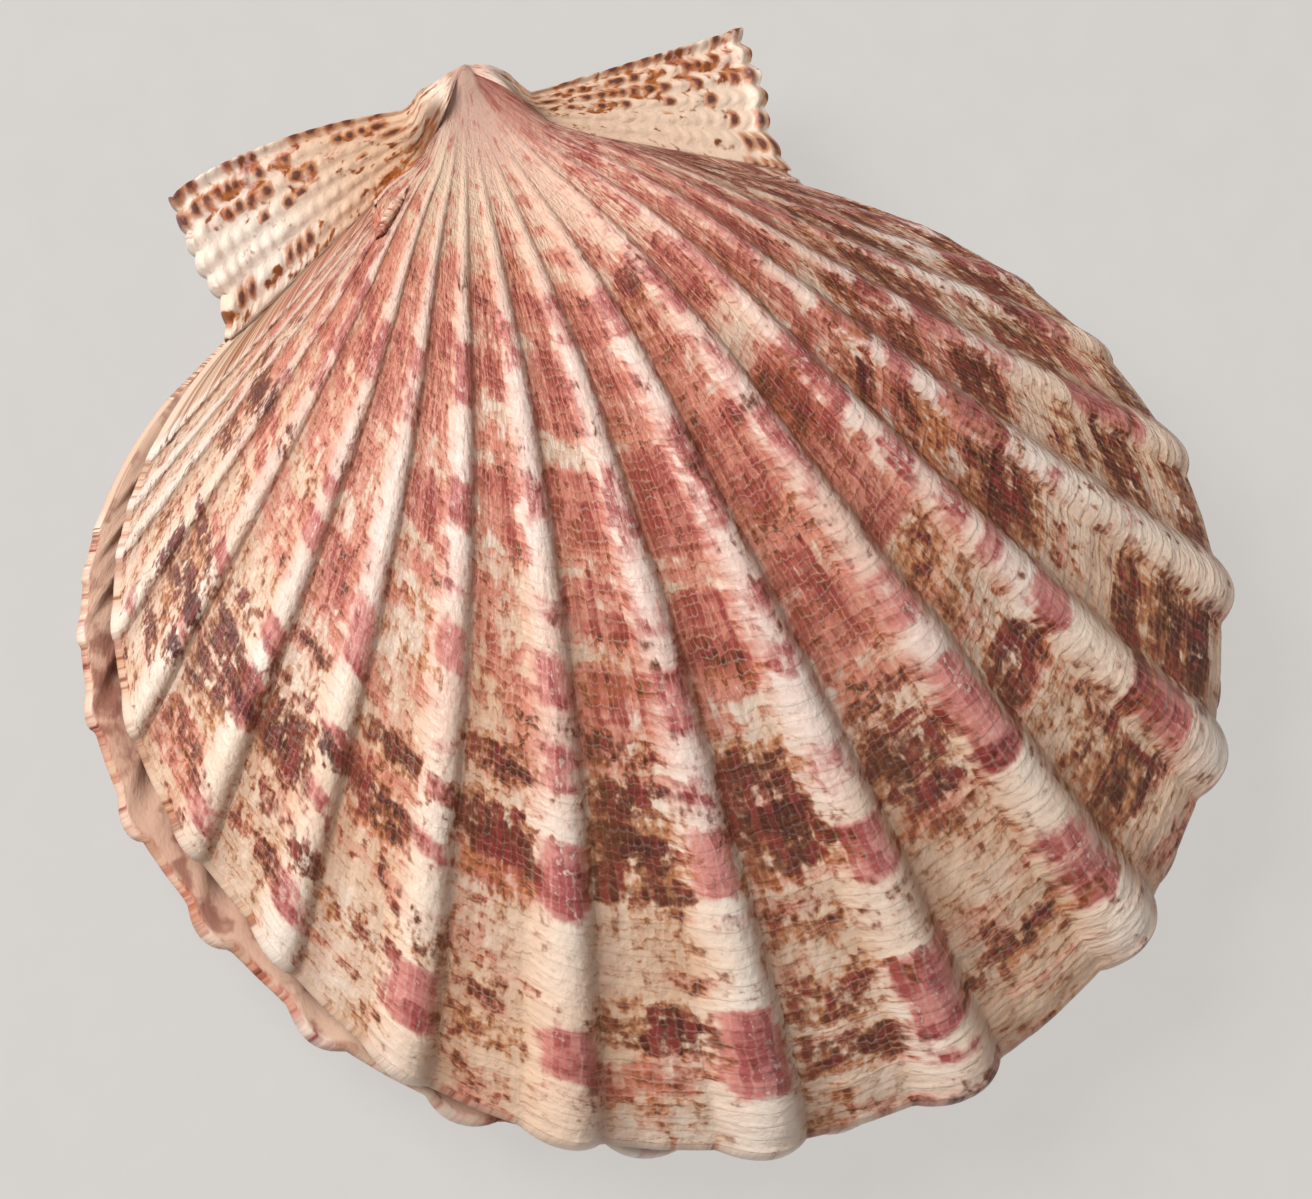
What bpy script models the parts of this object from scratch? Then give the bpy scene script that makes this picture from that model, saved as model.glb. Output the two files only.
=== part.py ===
"""Queen scallop shell, both valves together, lying on its lower valve.

The hinge runs along X, the shell opens toward -Y and +Z is up. The middle of the
underside of the shell's box is at the world origin. Each valve is one closed solid:
a thin corrugated bowl with its two ears. A small strip of ligament lies between them.
"""

import math

import bmesh
import bpy
import numpy as np

MM = 0.001

# Disc seen from above, measured from the beak: an ellipse with a shorter upper half
DISC_CENTRE_X = 2.3
DISC_CENTRE_Y = -36.9
DISC_HALF_WIDTH = 38.8
DISC_HALF_UPPER = 30.5
DISC_HALF_LOWER = 35.6
DISC_TILT = -15.0
LOWER_DISC_EXTRA_LEFT = 1.7
LOWER_DISC_EXTRA_RIGHT = 0.7
LOWER_DISC_HALF_UPPER = 29.4
LOWER_DISC_HALF_LOWER = 34.7

# The upper margin is a little flat on its left, where the lower one shows past it
FLAT_ANGLE = -36
FLAT_REACH = 8
FLAT_DEPTH = 1.5
LOWER_FLAT_DEPTH = 0.8

# Ribs: direction of each one at the margin, from straight down, positive to the right
RIB_ANGLES = (-61.5, -59.5, -57.5, -54, -49, -41.5, -34, -25.5, -16, -5,
              6.5, 19.5, 30.5, 40, 47.5, 53, 56.5, 59, 60.7, 62)
RIB_HALF_WIDTH = 0.22
RIB_FULLNESS = 0.9

# Height of a rib and depth of the margin between two lobes, where ribs are 13 mm apart,
# and how slowly both shrink as the ribs crowd
FULL_SPACING = 13
RIB_HEIGHT = 1.7
RIB_HEIGHT_POWER = 0.75
RIB_START = 0.16
LOBE_DEPTH = 1.0
LOBE_POWER = 0.6

# How ribs curve on their way, in degrees: a sweep to one side, a spread close to the
# beak that differs from rib to rib, and a bow in the ribs left of the middle
RIB_SWEEP = 3.9
SPREAD = 3.4
SPREAD_PER_DEGREE = 0.3
SPREAD_REACH = 0.27
RIB_BOW = 1.3
BOW_CENTRE = -0.2
BOW_REACH = 0.4

# Valves: height of the bowl over its rim, wall, and how square the flanks are
UPPER_BOWL = 9.6
LOWER_BOWL = 7.6
BOWL_BEND = 0.9
BOWL_PEAK = 0.3226
WALL = 1.1
STEEPEST = 0.45
INNER_START = 0.05
INNER_FULL = 0.17
FLANK_POWER = 3.2
FLANK_WIDE_REACH = 3.5
FLANK_SOFT_REACH = 2.6
FAN_EDGE_LEFT = 64.5
FAN_EDGE_RIGHT = 63.2

# Beak: it rises over the hinge line and hangs past it
BEAK_RISE = 2.6
BEAK_FADE = 0.08
BEAK_HALF_WIDTH = 4.6
UPPER_OVERHANG = 2.7
LOWER_OVERHANG = 0.8
OVERHANG_FADE = 2.5
OVERHANG_FULL = 1.2

# Ears
EAR_LEFT = 21.2
EAR_RIGHT = 20.6
LOWER_EAR_LEFT = 19.6
LOWER_EAR_RIGHT = 19.8
EAR_LEFT_ARCH = 1.8
ARCH_POWER = 0.6
ARCH_START = 0.06
ARCH_FULL = 0.22
EAR_SINUS = 0.7
SINUS_ANGLE = 70
SINUS_REACH = 5
EAR_CROWN = 0.6
EAR_RIBLETS = 5
EAR_RIBLET_HEIGHT = 0.3
BYSSAL_NOTCH = 7.5
NOTCH_ANGLES = (64, 68, 72, 77)

# How the valves sit on each other, and the worn spot underneath
VALVE_GAP = 1.0
GAPE = 0.5
REST_DEPTH = 0.9

# Ligament strip between the hinge plates
LIGAMENT_HALF_LENGTH = 13.0
LIGAMENT_DEPTH = 2.2
LIGAMENT_SHOWS = 0.2
LIGAMENT_THICKNESS = 0.38
LIGAMENT_TAPER_ALONG = 0.8
LIGAMENT_TAPER_DEPTH = 0.4

# Grid: shares of the way from beak to margin, and points from one rib to the next
ROWS = (0.03, 0.075, 0.14, 0.23, 0.35, 0.49, 0.64, 0.79, 0.91, 1.0)
STEPS_IN_A_SPACE = (0.0, 0.13, 0.23, 0.77, 0.87)
SHARP_ANGLE = 50


def smooth(value, start, end):
    """Ease from 0 to 1 while value goes from start to end."""
    share = np.clip((value - start) / (end - start), 0, 1)
    return share * share * (3 - 2 * share)


def hump(value, centre, reach):
    """A round bump of height 1 at centre."""
    return np.exp(-((value - centre) / reach) ** 2)


class Valve:
    """Sizes of one valve and the height of its outer face over the rim plane."""

    def __init__(self, bowl, ribs, ears, overhang):
        self.bowl = bowl
        self.ribs = np.radians(ribs)
        self.spacing = np.gradient(self.ribs)
        self.ear_left, self.ear_right = ears
        self.overhang = overhang
        self.centre_x = DISC_CENTRE_X
        self.half_width = DISC_HALF_WIDTH
        self.half_upper = DISC_HALF_UPPER
        self.half_lower = DISC_HALF_LOWER
        self.flat = 0
        self.arch = 0
        self.notch = 0

    def disc_radius(self, angle):
        """Distance from beak to margin, where the ray leaves the ellipse."""
        ray_x, ray_y = np.sin(angle), -np.cos(angle)
        tilt_cos, tilt_sin = math.cos(math.radians(DISC_TILT)), math.sin(math.radians(DISC_TILT))
        start_x = -tilt_cos * self.centre_x - tilt_sin * DISC_CENTRE_Y
        start_y = tilt_sin * self.centre_x - tilt_cos * DISC_CENTRE_Y
        step_x = tilt_cos * ray_x + tilt_sin * ray_y
        step_y = -tilt_sin * ray_x + tilt_cos * ray_y

        def leave(half_height):
            a = (step_x / self.half_width) ** 2 + (step_y / half_height) ** 2
            b = start_x * step_x / self.half_width ** 2 + start_y * step_y / half_height ** 2
            c = (start_x / self.half_width) ** 2 + (start_y / half_height) ** 2 - 1
            return (-b + np.sqrt(np.maximum(b * b - a * c, 0))) / a

        radius = leave(self.half_lower)
        radius = np.where(start_y + radius * step_y > 0, leave(self.half_upper), radius)
        return radius - self.flat * hump(np.degrees(angle), FLAT_ANGLE, FLAT_REACH)

    def ear_radius(self, angle):
        """Distance from beak to the outer edge of the ear, which has a shallow sinus."""
        length = np.where(angle < 0, self.ear_left, self.ear_right)
        smallest = math.radians(min(FAN_EDGE_LEFT, FAN_EDGE_RIGHT)) / 2
        radius = length / np.sin(np.maximum(np.abs(angle), smallest))
        radius = radius - EAR_SINUS * hump(np.degrees(np.abs(angle)), SINUS_ANGLE, SINUS_REACH)
        left = -np.degrees(angle)
        first, second, third, last = NOTCH_ANGLES
        in_notch = smooth(left, first, second) * (1 - smooth(left, third, last))
        return radius - self.notch * in_notch

    def fan_edge(self, angle):
        return np.radians(np.where(angle < 0, FAN_EDGE_LEFT, FAN_EDGE_RIGHT))

    def crest(self, angle):
        """1 on a crest, round like a cord and 0 in the spaces, and the ribs' spacing."""
        spacing = np.interp(angle, self.ribs, self.spacing)
        nearest = np.abs(angle[..., None] - self.ribs).min(-1)
        across = np.clip(nearest / (RIB_HALF_WIDTH * spacing), 0, 1)
        return (1 - across ** 2) ** RIB_FULLNESS, spacing

    def margin_radius(self, angle):
        inside = np.abs(angle) <= self.fan_edge(angle)
        wave, spacing = self.crest(angle)
        disc = self.disc_radius(angle)
        width = spacing * np.maximum(disc, 0)
        depth = LOBE_DEPTH * (width / FULL_SPACING) ** LOBE_POWER
        disc = disc - depth * (1 - wave)
        return np.where(inside, disc, self.ear_radius(angle))

    def rise(self, along):
        """Height of the bowl along the middle, as a share: 0 at beak and rim."""
        along = np.clip(along, 1e-6, 1)
        return along * np.sin(BOWL_BEND * np.log(1 / along) ** BOWL_BEND) / BOWL_PEAK

    def direction(self, angle, along):
        """Where the ray to the margin at this angle runs at this share of its way."""
        share = np.clip(angle / self.fan_edge(angle), -1, 1)
        sweep = RIB_SWEEP * (1 + share / 2) * (1 - along ** 2)
        spread = (SPREAD + SPREAD_PER_DEGREE * np.degrees(angle)) * hump(along, 0, SPREAD_REACH)
        bow = RIB_BOW * np.sin(math.pi * np.clip(along, 0, 1)) * hump(share, BOW_CENTRE, BOW_REACH)
        return angle - np.radians(sweep - spread - bow) * (1 - share ** 4)

    def outer(self, angle, along):
        """Points of the outer face: angle is taken at the margin, along runs 0 to 1."""
        edge = self.fan_edge(angle)
        direction = self.direction(angle, along)
        reach = along * self.margin_radius(angle)
        x = reach * np.sin(direction)
        y = -reach * np.cos(direction)

        wide_edge = edge + (math.pi / 2 - edge) * hump(reach, 0, FLANK_WIDE_REACH)
        flank = np.clip(np.abs(angle) / wide_edge, 0, 1) ** FLANK_POWER
        fan = 1 - flank * (1 - hump(reach, 0, FLANK_SOFT_REACH))
        beak = BEAK_RISE * np.exp(-along / BEAK_FADE)
        z = WALL + fan * (self.bowl * self.rise(along) + beak)

        wave, spacing = self.crest(angle)
        height = RIB_HEIGHT * (spacing * reach / FULL_SPACING) ** RIB_HEIGHT_POWER
        z = z + height * smooth(along, 0, RIB_START) * wave * (np.abs(angle) < edge)

        ear = np.clip((np.abs(angle) - edge) / (math.pi / 2 - edge), 0, 1)
        crown = EAR_CROWN * np.sin(math.pi * ear)
        riblet = EAR_RIBLET_HEIGHT * np.sin(math.pi * EAR_RIBLETS * ear) ** 2
        z = z + along * np.where(ear > 0, crown + riblet, 0)
        bend = np.sin(math.pi * np.clip(along, 0, 1)) ** ARCH_POWER
        bend = bend * smooth(along, ARCH_START, ARCH_FULL)
        y = y + self.arch * bend * ear * (angle < 0)
        return np.stack([x, y, z], -1)

    def columns(self):
        """Angles of the grid's columns, from the left ear's hinge end to the right one's."""
        ear = np.linspace(0, 1, 2 * EAR_RIBLETS + 1)[1:]
        left, right = math.radians(FAN_EDGE_LEFT), math.radians(FAN_EDGE_RIGHT)
        left_ear = -(left + (math.pi / 2 - left) * ear[::-1])
        right_ear = right + (math.pi / 2 - right) * ear
        disc = [-left]
        for first, second in zip(self.ribs[:-1], self.ribs[1:]):
            disc += [first + share * (second - first) for share in STEPS_IN_A_SPACE]
        disc += [self.ribs[-1], right]
        return np.concatenate([left_ear, disc, right_ear])


def valves():
    """The two valves; the lower one's ribs run between those of the upper one."""
    upper = Valve(UPPER_BOWL, RIB_ANGLES, (EAR_LEFT, EAR_RIGHT), UPPER_OVERHANG)
    upper.flat = FLAT_DEPTH
    upper.arch = EAR_LEFT_ARCH

    between = [(a + b) / 2 for a, b in zip(RIB_ANGLES[:-1], RIB_ANGLES[1:])]
    lower = Valve(LOWER_BOWL, between, (LOWER_EAR_LEFT, LOWER_EAR_RIGHT), LOWER_OVERHANG)
    lower.centre_x += (LOWER_DISC_EXTRA_RIGHT - LOWER_DISC_EXTRA_LEFT) / 2
    lower.half_width += (LOWER_DISC_EXTRA_RIGHT + LOWER_DISC_EXTRA_LEFT) / 2
    lower.half_upper = LOWER_DISC_HALF_UPPER
    lower.half_lower = LOWER_DISC_HALF_LOWER
    lower.flat = LOWER_FLAT_DEPTH
    lower.notch = BYSSAL_NOTCH
    return upper, lower


def hang_beak(points, overhang):
    """Push the raised part of the beak past the hinge line, most at the very tip."""
    x, y, z = points[..., 0], points[..., 1], points[..., 2]
    arch = np.clip(1 - (x / BEAK_HALF_WIDTH) ** 2, 0, 1)
    raised = smooth(z, WALL, WALL + OVERHANG_FULL)
    points[..., 1] += overhang * arch * raised * np.exp(np.minimum(y, 0) / OVERHANG_FADE)


def wall_thickness(outer):
    """Upright thickness that keeps the wall even where the face is steep."""
    down = np.gradient(outer, axis=0)
    across = np.gradient(outer, axis=1)
    normal = np.cross(across, down)
    slope = np.abs(normal[..., 2]) / np.maximum(np.linalg.norm(normal, axis=-1), 1e-9)
    return WALL / np.clip(slope, STEEPEST, 1)


def valve_points(valve, swing):
    """Outer grid, inner grid and the two beak points, with the rim plane at height 0."""
    angle, along = np.broadcast_arrays(valve.columns()[None, :], np.array(ROWS)[:, None])
    outer = valve.outer(angle, along)
    beak = valve.outer(np.zeros((1, 1)), np.full((1, 1), 1e-4))[0, 0]
    inner = outer.copy()
    inner[..., 2] -= wall_thickness(outer)
    inner[..., 2] = np.maximum(inner[..., 2], 0) * smooth(along, INNER_START, INNER_FULL)
    hang_beak(outer, valve.overhang)
    hang_beak(beak, valve.overhang)
    points = np.concatenate([outer.reshape(-1, 3), inner.reshape(-1, 3), [beak, np.zeros(3)]])
    points[:, 2] += math.tan(math.radians(swing)) * np.maximum(-points[:, 1], 0)
    return points, outer.shape[:2]


def valve_faces(rows, count):
    """Triangles of the outer face, the inner face and the wall round the edge."""
    inner = rows * count
    beak, inner_beak = 2 * inner, 2 * inner + 1
    faces = []

    def quad(a, b, c, d):
        faces.append((a, b, c))
        faces.append((a, c, d))

    def wall(a, b):
        quad(a, inner + a, inner + b, b)

    for col in range(count - 1):
        faces.append((beak, col, col + 1))
        faces.append((inner_beak, inner + col + 1, inner + col))
        for row in range(rows - 1):
            a = row * count + col
            quad(a, a + count, a + count + 1, a + 1)
            quad(inner + a, inner + a + 1, inner + a + count + 1, inner + a + count)
        rim = (rows - 1) * count + col
        wall(rim, rim + 1)
    for row in range(rows - 1):
        left = row * count
        right = left + count - 1
        wall(left, left + count)
        wall(right + count, right)
    quad(beak, inner_beak, inner, 0)
    quad(beak, count - 1, inner + count - 1, inner_beak)
    return faces


def make_object(name, points, faces, material):
    """A smooth-shaded object from points in millimetres."""
    mesh = bpy.data.meshes.new(name)
    mesh.from_pydata((np.asarray(points) * MM).tolist(), [], faces)
    work = bmesh.new()
    work.from_mesh(mesh)
    bmesh.ops.triangulate(work, faces=work.faces)
    bmesh.ops.recalc_face_normals(work, faces=work.faces)
    work.to_mesh(mesh)
    work.free()
    mesh.shade_smooth()
    mesh.set_sharp_from_angle(angle=math.radians(SHARP_ANGLE))
    mesh.materials.append(material)
    thing = bpy.data.objects.new(name, mesh)
    bpy.context.scene.collection.objects.link(thing)
    return thing


def make_material(name, colour, roughness):
    material = bpy.data.materials.new(name)
    material.use_nodes = True
    shader = material.node_tree.nodes["Principled BSDF"]
    shader.inputs["Base Color"].default_value = (*colour, 1)
    shader.inputs["Roughness"].default_value = roughness
    shader.inputs["Metallic"].default_value = 0
    return material


def ligament_points():
    """A flat strip whose ends taper, between the two hinge plates."""
    near, thin = LIGAMENT_TAPER_ALONG, LIGAMENT_TAPER_DEPTH
    across = np.array([-1, -near, near, 1]) * LIGAMENT_HALF_LENGTH
    inward = np.array([-thin, -1, -1, -thin]) * LIGAMENT_DEPTH
    back = np.full(len(across), LIGAMENT_SHOWS)
    outline = [*zip(across, inward), *zip(across[::-1], back)]
    half = LIGAMENT_THICKNESS / 2
    return np.array([(x, y, z) for z in (-half, half) for x, y in outline])


def ligament_faces(count):
    bottom = tuple(reversed(range(count)))
    top = tuple(range(count, 2 * count))
    sides = [(i, (i + 1) % count, (i + 1) % count + count, i + count) for i in range(count)]
    return [bottom, top, *sides]


def build():
    for thing in list(bpy.data.objects):
        bpy.data.objects.remove(thing)

    upper, lower = valves()
    upper_points, upper_shape = valve_points(upper, 0)
    lower_points, lower_shape = valve_points(lower, GAPE)

    hinge_height = lower_points[:, 2].max() - REST_DEPTH
    lower_points[:, 2] = np.maximum(hinge_height - lower_points[:, 2], 0)
    upper_points[:, 2] += hinge_height + VALVE_GAP
    strip = ligament_points()
    strip[:, 2] += hinge_height + VALVE_GAP / 2

    every = np.concatenate([upper_points, lower_points])
    middle = (every.min(0) + every.max(0)) / 2
    for points in (upper_points, lower_points, strip):
        points[:, :2] -= middle[:2]

    cream = make_material("upper valve", (0.62, 0.36, 0.29), 0.42)
    pale = make_material("lower valve", (0.66, 0.45, 0.36), 0.45)
    horn = make_material("ligament", (0.06, 0.03, 0.015), 0.5)
    make_object("upper_valve", upper_points, valve_faces(*upper_shape), cream)
    make_object("lower_valve", lower_points, valve_faces(*lower_shape), pale)
    make_object("hinge_ligament", strip, ligament_faces(len(strip) // 2), horn)


build()
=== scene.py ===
# %% [markdown]
# # A queen scallop shell, both valves together
#
# The shell lies on its lower valve and the camera looks down on the upper one. The packed
# model gives its size and place. This lesson grows a much finer shell over the same
# outline: ribs, growth scales, worn crests and ledges in the mesh, and colour in the
# nodes.

import math
from types import SimpleNamespace

import bmesh
import bpy
import numpy as np
from mathutils import Matrix, Vector


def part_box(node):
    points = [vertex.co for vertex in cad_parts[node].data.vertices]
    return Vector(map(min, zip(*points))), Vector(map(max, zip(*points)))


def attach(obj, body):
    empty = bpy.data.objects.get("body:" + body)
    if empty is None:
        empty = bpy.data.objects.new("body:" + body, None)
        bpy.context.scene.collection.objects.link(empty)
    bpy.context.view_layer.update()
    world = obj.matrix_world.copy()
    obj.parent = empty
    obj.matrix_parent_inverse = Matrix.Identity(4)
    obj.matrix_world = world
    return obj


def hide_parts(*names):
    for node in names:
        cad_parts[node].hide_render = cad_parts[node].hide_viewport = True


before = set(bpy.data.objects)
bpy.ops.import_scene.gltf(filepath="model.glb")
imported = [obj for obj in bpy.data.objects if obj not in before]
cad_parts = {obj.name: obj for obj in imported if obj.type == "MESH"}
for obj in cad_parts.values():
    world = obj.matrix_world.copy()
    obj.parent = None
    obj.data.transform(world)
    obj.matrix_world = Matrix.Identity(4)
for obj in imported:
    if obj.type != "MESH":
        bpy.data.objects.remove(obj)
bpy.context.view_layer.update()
MM = 0.001

strip_low, strip_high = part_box("hinge_ligament")
LIGAMENT_SHOWS = 0.2
BEAK = np.array([(strip_low.x + strip_high.x) / 2 / MM, strip_high.y / MM - LIGAMENT_SHOWS])
UPPER_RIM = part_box("upper_valve")[0].z / MM
LOWER_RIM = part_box("lower_valve")[1].z / MM
print("beak at", BEAK.round(2), "rim planes at", round(LOWER_RIM, 2), round(UPPER_RIM, 2))

# %% [markdown]
# ## Camera
#
# The photograph was taken from almost straight above with a long lens, and the camera
# was turned a little, so the hinge runs up to the right. A camera is placed by three
# things: where it is, what it looks at and which way is up. The last one gives the turn.

# %% Place the camera
CAMERA_AT = Vector((-102.31, -21.75, 276.85)) * MM
CAMERA_LOOKS_AT = Vector((-2.14, -0.05, 12.34)) * MM
CAMERA_UP = Vector((0.30593, 0.93243, 0.19232))
LENS = 118.54

forward = (CAMERA_LOOKS_AT - CAMERA_AT).normalized()
right = forward.cross(CAMERA_UP).normalized()
up = right.cross(forward)
turn = Matrix((right, up, -forward)).transposed()

lens = bpy.data.cameras.new("camera")
lens.lens = LENS
lens.sensor_width = 36
lens.clip_start, lens.clip_end = 0.01, 10
camera = bpy.data.objects.new("camera", lens)
camera.matrix_world = Matrix.Translation(CAMERA_AT) @ turn.to_4x4()
bpy.context.scene.collection.objects.link(camera)
bpy.context.scene.camera = camera
print("camera stands", round((CAMERA_AT - CAMERA_LOOKS_AT).length / MM), "mm away")

# %% [markdown]
# ## Outline of a valve
#
# A scallop's disc is close to an ellipse seen from its beak, so every point of the shell
# can be named by two numbers: the direction of the ray that runs to it, and how far along
# that ray it lies. Growth keeps the direction of each rib, which makes these two numbers
# the right ones for the ribs, the growth scales and the colours too.

# %% Sizes of the disc and its ribs, in millimetres and degrees
DISC_CENTRE = (2.3, -36.9)
DISC_TILT = -15.0
RIB_ANGLES = (-61.5, -59.5, -57.5, -54, -49, -41.5, -34, -25.5, -16, -5,
              6.5, 19.5, 30.5, 40, 47.5, 53, 56.5, 59, 60.7, 62)
FAN_EDGE_LEFT, FAN_EDGE_RIGHT = 64.5, 63.2
FULL_SPACING = 13
RIB_HEIGHT, RIB_HALF_WIDTH, RIB_FULLNESS = 1.7, 0.22, 0.9
RIB_HEIGHT_POWER, RIB_START = 0.75, 0.16
LOBE_DEPTH, LOBE_POWER = 1.0, 0.6
RIB_SWEEP = 3.9
RIB_BOW, BOW_CENTRE, BOW_REACH = 1.3, -0.2, 0.4
SPLAY, SPLAY_SHARE, SPLAY_REACH = 3.4, 0.3, 0.27
FLAT_ANGLE, FLAT_REACH = -36, 8

# %% Sizes of the bowl, the beak and the ears
WALL, STEEPEST = 1.1, 0.45
BOWL_TURN, BOWL_BEND, BOWL_PEAK = 0.9, 0.9, 0.3226
FLANK_POWER = 3.2
FLANK_WIDE_REACH, FLANK_SOFT_REACH = 3.5, 2.6
BEAK_RISE, BEAK_FADE, BEAK_HALF_WIDTH = 2.6, 0.08, 4.6
OVERHANG_FADE, OVERHANG_FULL = 2.5, 1.2
EAR_RIBLETS, EAR_DOMING = 6, 0.6
EAR_LOBE, EAR_LOBE_POWER, EAR_SET_BACK = 0.45, 0.7, 0.4
SINUS_DEPTH, SINUS_ANGLE, SINUS_REACH = 0.7, 70, 5
NOTCH_ANGLES = (64, 68, 72, 77)
ARCH_POWER, ARCH_START, ARCH_FULL = 0.6, 0.06, 0.22


# %% Easing and bumps
def smooth(value, start, end):
    """Ease from 0 at start to 1 at end, whichever of the two is larger."""
    share = np.clip((value - start) / (end - start), 0, 1)
    return share * share * (3 - 2 * share)


def hump(value, centre, reach):
    """A round bump of height 1 at centre that is gone about two reaches away."""
    return np.exp(-((value - centre) / reach) ** 2)


# %% [markdown]
# ## Natural unevenness
#
# Nothing on a shell repeats exactly. A small table of random numbers, drawn once from a
# fixed seed and eased between its entries, gives slow drifts that are the same every run.

# %% Drifting noise
class Drift:
    """Smooth noise over two coordinates, between -1 and 1."""

    def __init__(self, seed, size=61):
        self.size = size
        self.table = np.random.default_rng(seed).uniform(-1, 1, (size, size))

    def __call__(self, x, y):
        x, y = np.broadcast_arrays(np.asarray(x, float), np.asarray(y, float))
        i, j = np.floor(x).astype(int), np.floor(y).astype(int)
        s, t = smooth(x - i, 0, 1), smooth(y - j, 0, 1)
        low = self.pick(i, j) * (1 - s) + self.pick(i + 1, j) * s
        high = self.pick(i, j + 1) * (1 - s) + self.pick(i + 1, j + 1) * s
        return low * (1 - t) + high * t

    def pick(self, i, j):
        return self.table[i % self.size, j % self.size]


slow, quick, grain = Drift(3), Drift(5), Drift(8)
print("drift at one place:", round(float(slow(2.3, 4.1)), 3))


# %% [markdown]
# ## One valve as a surface
#
# The valve below gives the height of its outer face at any direction and distance. It is
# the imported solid's own shape: a bowl, ribs that widen towards the margin, steep flanks
# beside the ears, and flat ears. Everything finer is laid over it later, along its normal.

# %% The valve
class Valve:
    def __init__(self, bowl, ribs, half_width, halves, ears, overhang, shift=0, flat=0, arch=0,
                 notch=0):
        self.bowl, self.ribs = bowl, np.radians(ribs)
        self.spacing = np.gradient(self.ribs)
        self.half_width, (self.half_upper, self.half_lower) = half_width, halves
        self.ear_left, self.ear_right = ears
        self.overhang = overhang
        self.shift, self.flat, self.arch, self.notch = shift, flat, arch, notch

    def disc_radius(self, angle):
        """Distance from the beak to where the ray leaves the tilted ellipse."""
        tilt = math.radians(DISC_TILT)
        cos, sin = math.cos(tilt), math.sin(tilt)
        centre_x = DISC_CENTRE[0] + self.shift
        start_x = -cos * centre_x - sin * DISC_CENTRE[1]
        start_y = sin * centre_x - cos * DISC_CENTRE[1]
        step_x = cos * np.sin(angle) - sin * np.cos(angle)
        step_y = -sin * np.sin(angle) - cos * np.cos(angle)

        def leave(half_height):
            a = (step_x / self.half_width) ** 2 + (step_y / half_height) ** 2
            b = start_x * step_x / self.half_width ** 2 + start_y * step_y / half_height ** 2
            c = (start_x / self.half_width) ** 2 + (start_y / half_height) ** 2 - 1
            return (-b + np.sqrt(np.maximum(b * b - a * c, 0))) / a

        radius = leave(self.half_lower)
        radius = np.where(start_y + radius * step_y > 0, leave(self.half_upper), radius)
        return radius - self.flat * hump(np.degrees(angle), FLAT_ANGLE, FLAT_REACH)

    def ear_radius(self, angle):
        down = np.degrees(np.abs(angle))
        length = np.where(angle < 0, self.ear_left, self.ear_right)
        radius = length / np.sin(np.maximum(np.abs(angle), 0.5))
        radius = radius - SINUS_DEPTH * hump(down, SINUS_ANGLE, SINUS_REACH)
        left = -np.degrees(angle)
        opens, deep, deep_end, closed = NOTCH_ANGLES
        notched = smooth(left, opens, deep) * (1 - smooth(left, deep_end, closed))
        return radius - self.notch * notched

    def fan_edge(self, angle):
        return np.radians(np.where(angle < 0, FAN_EDGE_LEFT, FAN_EDGE_RIGHT))

    def rib_number(self, angle):
        """Counts the ribs: a whole number on each crest."""
        return np.interp(angle, self.ribs, np.arange(len(self.ribs)))

    def crest(self, angle):
        """1 on a crest, falling like a round cord to 0 in the flat space beside it."""
        spacing = np.interp(angle, self.ribs, self.spacing)
        nearest = np.abs(angle[..., None] - self.ribs).min(-1)
        across = np.clip(nearest / (RIB_HALF_WIDTH * spacing), 0, 1)
        return (1 - across ** 2) ** RIB_FULLNESS, spacing

    def ear(self, angle):
        """0 on the disc and at the ear's foot, 1 at the hinge line."""
        edge = self.fan_edge(angle)
        return np.clip((np.abs(angle) - edge) / (math.pi / 2 - edge), 0, 1)

    def margin_radius(self, angle):
        wave, spacing = self.crest(angle)
        disc = self.disc_radius(angle)
        width = spacing * np.maximum(disc, 0)
        disc = disc - LOBE_DEPTH * (width / FULL_SPACING) ** LOBE_POWER * (1 - wave)
        ripple = np.abs(np.cos(math.pi * EAR_RIBLETS * self.ear(angle)))
        lobes = EAR_LOBE * ripple ** EAR_LOBE_POWER - EAR_SET_BACK
        inside = np.abs(angle) <= self.fan_edge(angle)
        return np.where(inside, disc, self.ear_radius(angle) + lobes)

    def outer(self, angle, along, ribbed=1.0):
        """Points of the face. Inside the shell the ribs are only partly felt."""
        edge = self.fan_edge(angle)
        share = np.clip(angle / edge, -1, 1)
        sweep = RIB_SWEEP * (1 + share / 2) * (1 - along ** 2)
        splay = (SPLAY + SPLAY_SHARE * np.degrees(angle)) * hump(along, 0, SPLAY_REACH)
        middle = np.sin(math.pi * np.clip(along, 0, 1))
        bow = RIB_BOW * middle * hump(share, BOW_CENTRE, BOW_REACH)
        direction = angle - np.radians(sweep - splay - bow) * (1 - share ** 4)
        reach = along * self.margin_radius(angle)
        x = reach * np.sin(direction)
        y = -reach * np.cos(direction)

        wide_edge = edge + (math.pi / 2 - edge) * hump(reach, 0, FLANK_WIDE_REACH)
        flank = np.clip(np.abs(angle) / wide_edge, 0, 1) ** FLANK_POWER
        fan = 1 - flank * (1 - hump(reach, 0, FLANK_SOFT_REACH))
        inner_part = np.clip(along, 1e-6, 1)
        swell = np.sin(BOWL_TURN * np.log(1 / inner_part) ** BOWL_BEND)
        dome = inner_part * swell / BOWL_PEAK
        z = WALL + fan * (self.bowl * dome + BEAK_RISE * np.exp(-along / BEAK_FADE))

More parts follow.
